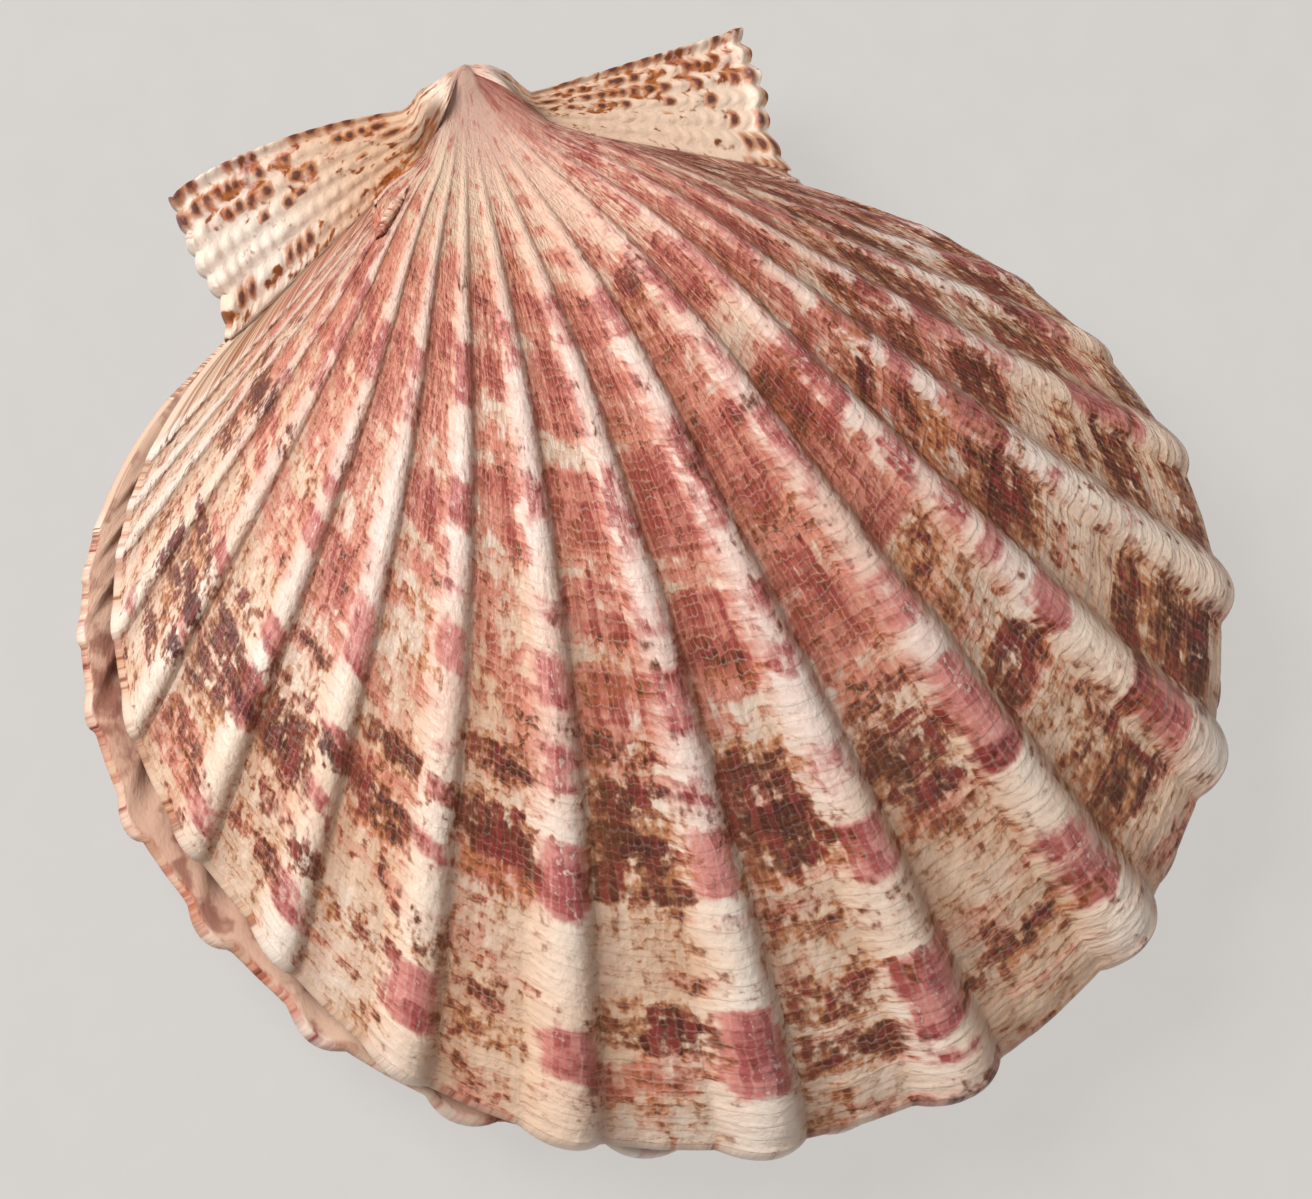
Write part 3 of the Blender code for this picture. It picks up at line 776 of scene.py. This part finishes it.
# %% The upper valve
UPPER_INNER = np.array([1, 0.985, 0.96, 0.92, 0.85, 0.75, 0.63, 0.5, 0.37, 0.25, 0.15, 0.08, 0.04])
points, faces, values = grow(upper, net_columns, growth, growth_along, UPPER_INNER, True)
points += (*BEAK, UPPER_RIM)
upper_shell = make_object("upper_shell", points, faces, values)

# %% [markdown]
# ## The lower valve
#
# The lower valve is a little wider and flatter, and its margin shows past the upper one
# on the left. It stands on a worn spot, so the lowest points are pressed flat at the
# floor.

# %% Turn a valve upside down
GAPE = 0.5
LOWER_INNER = np.array([1, 0.994, 0.988, 0.98, 0.97, 0.958, 0.945, 0.93, 0.915, 0.9, 0.87, 0.83,
                        0.77, 0.7, 0.6, 0.5, 0.4, 0.3, 0.2, 0.12, 0.06])
low_growth, low_along = growth_rows(66)
low_columns = columns(lower, 4.3, 34)
points, faces, values = grow(lower, low_columns, low_growth, low_along, LOWER_INNER)
points[:, 2] += math.tan(math.radians(GAPE)) * np.maximum(-points[:, 1], 0)
points[:, 2] = np.maximum(LOWER_RIM - points[:, 2], 0)
points[:, :2] += BEAK
lower_shell = make_object("lower_shell", points, faces, values)

# %% [markdown]
# ## Shader maths as expressions
#
# A node tree is easier to read as arithmetic. The class below holds one output socket, and
# every operator adds the Math node that it names. Colours go through Mix nodes.

# %% A socket that can be calculated with
class Wire:
    tree = None

    def __init__(self, socket):
        self.socket = socket

    @classmethod
    def node(cls, kind, inputs=(), out=0, **settings):
        """Adds any node. Settings are made first, then inputs by name or number."""
        node = cls.tree.nodes.new("ShaderNode" + kind)
        for key, value in settings.items():
            setattr(node, key, value)
        for key, value in dict(inputs).items():
            cls.plug(value, node.inputs[key])
        return cls(node.outputs[out])

    @classmethod
    def plug(cls, value, socket):
        if isinstance(value, Wire):
            cls.tree.links.new(value.socket, socket)
        elif isinstance(value, (tuple, list)) and socket.type == "RGBA":
            socket.default_value = (*value, 1) if len(value) == 3 else value
        else:
            socket.default_value = value

    def maths(self, operation, other, swap=False):
        pair = (other, self) if swap else (self, other)
        return Wire.node("Math", {0: pair[0], 1: pair[1]}, operation=operation)

    def __add__(self, other):
        return self.maths("ADD", other)

    def __sub__(self, other):
        return self.maths("SUBTRACT", other)

    def __rsub__(self, other):
        return self.maths("SUBTRACT", other, swap=True)

    def __mul__(self, other):
        return self.maths("MULTIPLY", other)

    def __mod__(self, other):
        return self.maths("FLOORED_MODULO", other)

    __radd__, __rmul__ = __add__, __mul__

    def floor(self):
        return Wire.node("Math", {0: self}, operation="FLOOR")

    def ease(self, start, end):
        """0 before start, 1 after end, smooth between. Start may be above end."""
        low, high = min(start, end), max(start, end)
        eased = Wire.node("MapRange", {"Value": self, "From Min": low, "From Max": high},
                          interpolation_type="SMOOTHSTEP")
        return eased if start <= end else 1 - eased


def value_of(name):
    """A number stored on the mesh."""
    return Wire.node("Attribute", out="Fac", attribute_name=name)


def mix(share, first, second):
    """A colour between two colours."""
    return Wire.node("Mix", {0: share, 6: first, 7: second}, out=2, data_type="RGBA")


def vector(x, y, z=0.0):
    return Wire.node("CombineXYZ", {0: x, 1: y, 2: z})


def noise(place, scale, detail=2.0, roughness=0.5):
    return Wire.node("TexNoise", {"Vector": place, "Scale": scale, "Detail": detail,
                                  "Roughness": roughness})


def cells(value):
    """Steps from one whole number to the next, held inside a cell and eased at its border."""
    shifted = value - 0.5
    return shifted.floor() + (shifted % 1.0).ease(0.12, 0.88)


def new_material(name):
    """An empty material whose tree the next expressions build."""
    material = bpy.data.materials.new(name)
    material.use_nodes = True
    Wire.tree = material.node_tree
    return material, material.node_tree.nodes["Principled BSDF"]


def finish_shader(shader, **sockets):
    for name, value in sockets.items():
        Wire.plug(value, shader.inputs[name.replace("_", " ")])


print("shader maths ready")


# %% [markdown]
# ## The shell's finish
#
# The outside is satin, ivory to salmon, with rose bars, rust spots and maroon patches. The
# same two numbers as the mesh, rib and growth, give every cell between two riblets and two
# growth lines its own random shade, so patches end in small steps as on a real shell.

# %% Shell colours
IVORY = (0.89, 0.79, 0.70)
CREAM = (0.83, 0.62, 0.47)
SAND = (0.64, 0.37, 0.21)
PEACH = (0.80, 0.44, 0.34)
SALMON = (0.64, 0.225, 0.155)
ROSE = (0.34, 0.050, 0.042)
CRIMSON = (0.23, 0.028, 0.028)
PINK = (0.63, 0.24, 0.21)
CERISE = (0.35, 0.050, 0.055)
LILAC = (0.74, 0.48, 0.44)
RUST = (0.50, 0.165, 0.045)
BROWN = (0.22, 0.065, 0.020)
MAROON = (0.045, 0.006, 0.008)
UMBER = (0.085, 0.025, 0.009)
PLUM = (0.085, 0.030, 0.045)
CHALK = (0.90, 0.80, 0.70)
THREAD = (0.80, 0.60, 0.50)
BLUSH = (0.70, 0.42, 0.31)
SPOT = (0.25, 0.065, 0.045)


# %% The weave of riblets and growth lines
STRIAE_PER_RIB, EAR_STRIAE = 19.0, 13.0
RINGS_PER_SCALE = 1.6
STRAY_ACROSS, STRAY_UP = 1.3, 1.5


def centred(place, scale, detail):
    """Noise between about -0.5 and 0.5."""
    return noise(place, scale, detail) - 0.5


def weave():
    """The mesh's numbers, the warped weave made from them and the noises that ride on it."""
    w = SimpleNamespace()
    for key in ("rib", "along", "growth", "crest", "ear", "face", "rose", "dark", "rust"):
        setattr(w, key, value_of(key))
    w.place = Wire.node("TexCoord", out="Object")
    w.disc = 1 - w.ear
    stria = w.rib * (STRIAE_PER_RIB - w.ear * (STRIAE_PER_RIB - EAR_STRIAE))
    ring = w.growth * RINGS_PER_SCALE
    w.grid = vector(stria, ring)
    warp = Wire.node("TexNoise", {"Vector": w.grid, "Scale": 0.5, "Detail": 2.0}, out="Color")
    warp_x = Wire.node("SeparateColor", {"Color": warp}, out="Red") - 0.5
    warp_y = Wire.node("SeparateColor", {"Color": warp}, out="Green") - 0.5
    w.across, w.up = stria + warp_x * STRAY_ACROSS, ring + warp_y * STRAY_UP
    cell_x, cell_y = cells(w.across), cells(w.up)
    cell = vector(cell_x, cell_y, 0.5)

    w.soft = centred(cell, 0.16, 2.0)
    w.speck = centred(cell, 0.57, 1.0)
    w.fleck = centred(w.grid, 1.1, 3.0)
    w.band = centred(vector(w.rib * 1.5, cell_y * 0.31, 0.5), 1.0, 2.0)
    w.streak = centred(vector(cell_x * 0.8, w.growth * 0.12, 0.5), 1.0, 1.0)
    w.drift = noise(w.place, 60.0, 2.0)
    ruffle = w.soft * 1.2 + w.speck * 1.1 + w.band * 0.8 + w.fleck * 0.7 + w.streak * 0.4
    w.ruffle = ruffle * (w.along.ease(0.02, 0.2) * 0.75 + 0.25)
    return w


# %% [markdown]
# The ground is ivory with sand in the spaces, peach at the beak and on its right side, and
# a broad salmon blush round the middle of the shell.

# %% Ground colour
def ground_colour(w):
    colour = mix(w.drift.ease(0.35, 0.65), IVORY, CREAM)
    colour = mix((1 - w.crest) * w.disc * w.grown * (0.6 + w.soft + w.speck), colour, SAND)
    foot = w.along.ease(0.8, 0.25) * w.along.ease(0.08, 0.18)
    colour = mix(w.ear * foot * 0.65, colour, SAND)
    right_side = w.rib.ease(7.0, 10.0) * w.along.ease(0.5, 0.08)
    colour = mix(w.disc * right_side * 0.35, colour, PEACH)
    colour = mix(w.along.ease(0.12, 0.03) * 0.6, colour, PEACH)
    salmon = w.blush * 0.6 + w.band * 3.4 + w.soft * 1.6 + w.speck * 1.4 + w.fleck
    colour = mix(salmon.ease(0.0, 0.9) * (1 - w.crest * 0.8) * w.disc, colour, SALMON)
    return mix(w.crest * w.blush * 0.4, colour, LILAC)


# %% Rose bars and rust freckles
def rose_and_rust(w, colour):
    deep = (w.rose * 0.55 + w.ruffle + w.streak * 1.6 + w.band * 0.9).ease(0.1, 0.9)
    red = mix(w.crest, mix(deep, SALMON, ROSE), mix(deep + 0.15, PINK, CERISE))
    level = w.rose * 0.95 + w.ruffle * (1 - w.crest * 0.35)
    colour = mix(level.ease(0.2, 0.7) * 0.94, colour, red)
    worn = (w.fleck * 1.5 + w.streak * 0.8 + w.blush * 0.06).ease(0.18, 0.36)
    colour = mix(w.crest * worn * w.disc * 0.5, colour, CHALK)

    rusty = mix((w.speck + w.fleck).ease(0.05, 0.3), RUST, BROWN)
    level = w.rust * 0.5 + w.dark * w.disc * 0.7 + w.speck * 1.9 + w.fleck * 2.0 + w.soft * 1.4
    return mix(level.ease(0.3, 0.95) * (w.grown + w.ear) * 0.85, colour, rusty)


# %% Dark patches on the disc, round spots on the ears
def dark_marks(w, colour):
    patch = mix((w.streak * 1.8 + w.speck * 1.4 + 0.5).ease(0.3, 0.9), MAROON, CRIMSON)
    patch = mix((w.soft + w.fleck).ease(0.0, 0.25) * 0.85, patch, UMBER)
    patch = mix(w.rib.ease(6.0, 3.0) * 0.4, patch, PLUM)
    level = w.dark * 0.85 + w.ruffle * 1.4 + w.band + w.fleck * 0.6
    colour = mix(level.ease(0.28, 1.05) * w.disc * 0.93, colour, patch)
    spot = w.dark + w.fleck * 0.8
    colour = mix(spot.ease(0.05, 0.45) * w.ear * w.face * 0.75, colour, RUST)
    colour = mix(spot.ease(0.42, 0.85) * w.ear * w.face * 0.85, colour, patch)
    # Painted shade in the hollow at each ear's foot, mixed in as umber.
    return mix(value_of("crevice_shade") * 0.7, colour, UMBER)


# %% [markdown]
# Growth lines are pale threads, each with a thin painted shadow just past it. They bend between
# two riblets, fade on the crests and break off here and there.

# %% Growth lines, threads and the painted shade with a brown tint on the right side of each rib
def fine_lines(w, colour):
    thread = w.across % 1.0
    sag = (thread - 0.5) * (thread - 0.5)
    step = (w.up + w.fleck * 0.4 + sag * 0.7) % 1.0
    w.line = step.ease(0.66, 0.82) * step.ease(0.98, 0.86)
    # Painted shadow: a thin band just past each pale growth line, darkened where the scale's step
    # would cast shade.
    below = step.ease(0.0, 0.08) * step.ease(0.34, 0.12)
    w.broken = (w.speck + w.soft * 0.5 + w.fleck).ease(-0.15, 0.1) * w.disc
    w.broken = w.broken * w.along.ease(0.12, 0.25)
    lengthwise = thread.ease(0.2, 0.05) + thread.ease(0.8, 0.95)
    pale = 1 - w.dark * 0.5
    colour = mix(w.line * w.broken * (1 - w.crest * 0.6) * pale * 0.28, colour, THREAD)
    colour = mix(lengthwise * w.grown * w.disc * pale * 0.14, colour, THREAD)
    # The painted shadow of each growth line, mixed in as brown.
    colour = mix(below * w.broken * (1 - w.crest * 0.7) * 0.4, colour, BROWN)
    # Partly a brown tint and partly painted shade: the right side of each rib, turned from the key
    # light, is darkened in the colour itself.
    lee_shade_and_tint = w.rib % 1.0
    lee_shade_and_tint = lee_shade_and_tint.ease(0.06, 0.18) * lee_shade_and_tint.ease(0.5, 0.25) * w.disc
    return mix(lee_shade_and_tint * w.grown * 0.34, colour, BROWN)


# %% The inner face
def inner_face(w, colour):
    spots = (noise(w.place, 420.0, 3.0) + w.along.ease(0.9, 1.0) * 0.04).ease(0.5, 0.64)
    plain = mix(w.drift.ease(0.25, 0.7), CREAM, BLUSH)
    inner = mix(spots * w.along.ease(0.85, 0.95) * 0.7, plain, SPOT)
    return mix((1 - w.face) * w.along.ease(1.0, 0.99), colour, inner)


# %% Put the finish together
def shell_material(name):
    material, shader = new_material(name)
    w = weave()
    w.grown = w.along.ease(0.06, 0.26)
    w.blush = w.along.ease(0.08, 0.24) * w.along.ease(0.80, 0.62) * w.disc
    colour = rose_and_rust(w, ground_colour(w))
    colour = inner_face(w, fine_lines(w, dark_marks(w, colour)))

    step = w.growth % 1.0
    raised = step.ease(0.5, 0.80) * step.ease(0.98, 0.86) * w.disc * w.face
    grain_height = raised * 0.35 + noise(w.grid, 0.8, 3.0) * (0.8 + w.face * 1.8)
    bump = Wire.node("Bump", {"Height": grain_height, "Strength": 0.7, "Distance": 0.0001})
    roughness = 0.38 + w.speck * 0.4 + w.line * w.broken * 0.1
    finish_shader(shader, Base_Color=colour, Roughness=roughness, Normal=bump)
    shader.inputs["Specular IOR Level"].default_value = 0.3
    print(name, "has", len(Wire.tree.nodes), "nodes")
    return material


shell = shell_material("shell")
upper_shell.data.materials.append(shell)
lower_shell.data.materials.append(shell)


# %% [markdown]
# ## The ligament
#
# A thin dark strip of horn holds the valves together along the hinge. Its solid has the
# right shape, so it keeps it and only gets a finish.

# %% Ligament material
def ligament_material():
    material, shader = new_material("ligament")
    place = Wire.node("TexCoord", out="Object")
    grainy = noise(place, 900.0, 3.0)
    colour = mix(grainy, (0.025, 0.012, 0.006), (0.10, 0.05, 0.025))
    bump = Wire.node("Bump", {"Height": grainy, "Strength": 0.4, "Distance": 0.0001})
    finish_shader(shader, Base_Color=colour, Roughness=0.4 + grainy * 0.25, Normal=bump)
    return material


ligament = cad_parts["hinge_ligament"]
ligament.data.materials.clear()
ligament.data.materials.append(ligament_material())

# %% [markdown]
# ## Floor and light
#
# The floor is a plain pale sheet. A large soft light stands up and to the left of the
# picture, so the right side of each rib falls into a gentle shade.

# %% Floor
FLOOR_HALF = 0.6
floor_mesh = bpy.data.meshes.new("floor")
corners = [(-FLOOR_HALF, -FLOOR_HALF, 0), (FLOOR_HALF, -FLOOR_HALF, 0),
           (FLOOR_HALF, FLOOR_HALF, 0), (-FLOOR_HALF, FLOOR_HALF, 0)]
floor_mesh.from_pydata(corners, [], [(0, 1, 2, 3)])
floor = bpy.data.objects.new("floor", floor_mesh)
bpy.context.scene.collection.objects.link(floor)
material, shader = new_material("floor")
paper = noise(Wire.node("TexCoord", out="Object"), 300.0, 3.0)
tint = mix(paper, (0.205, 0.198, 0.190), (0.215, 0.208, 0.200))
dim_tint = mix(paper, (0.100, 0.097, 0.093), (0.105, 0.102, 0.098))
finish_shader(shader, Base_Color=dim_tint, Roughness=0.9, Emission_Color=tint)
shader.inputs["Emission Strength"].default_value = 2.62
floor_mesh.materials.append(material)

# %% Lights
def soft_light(name, place, size, power, colour):
    """A square light that faces the shell."""
    light = bpy.data.lights.new(name, "AREA")
    light.shape, light.size, light.energy, light.color = "SQUARE", size, power, colour
    lamp = bpy.data.objects.new(name, light)
    spot = Vector(place)
    lamp.matrix_world = (Matrix.Translation(spot)
                         @ spot.to_track_quat("Z", "Y").to_matrix().to_4x4())
    bpy.context.scene.collection.objects.link(lamp)


soft_light("key", (-0.34, 0.27, 0.40), 0.28, 4.0, (1.0, 0.97, 0.94))
soft_light("fill", (0.30, -0.25, 0.45), 0.5, 0.5, (1.0, 0.97, 0.95))
world = bpy.data.worlds.new("studio")
bpy.context.scene.world = world
world.use_nodes = True
world.node_tree.nodes["Background"].inputs["Color"].default_value = (0.96, 0.92, 0.89, 1)
world.node_tree.nodes["Background"].inputs["Strength"].default_value = 0.18
bpy.context.scene.view_settings.view_transform = "Standard"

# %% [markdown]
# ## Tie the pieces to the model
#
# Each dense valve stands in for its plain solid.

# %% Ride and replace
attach(upper_shell, "root")
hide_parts("upper_valve")
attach(lower_shell, "root")
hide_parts("lower_valve")
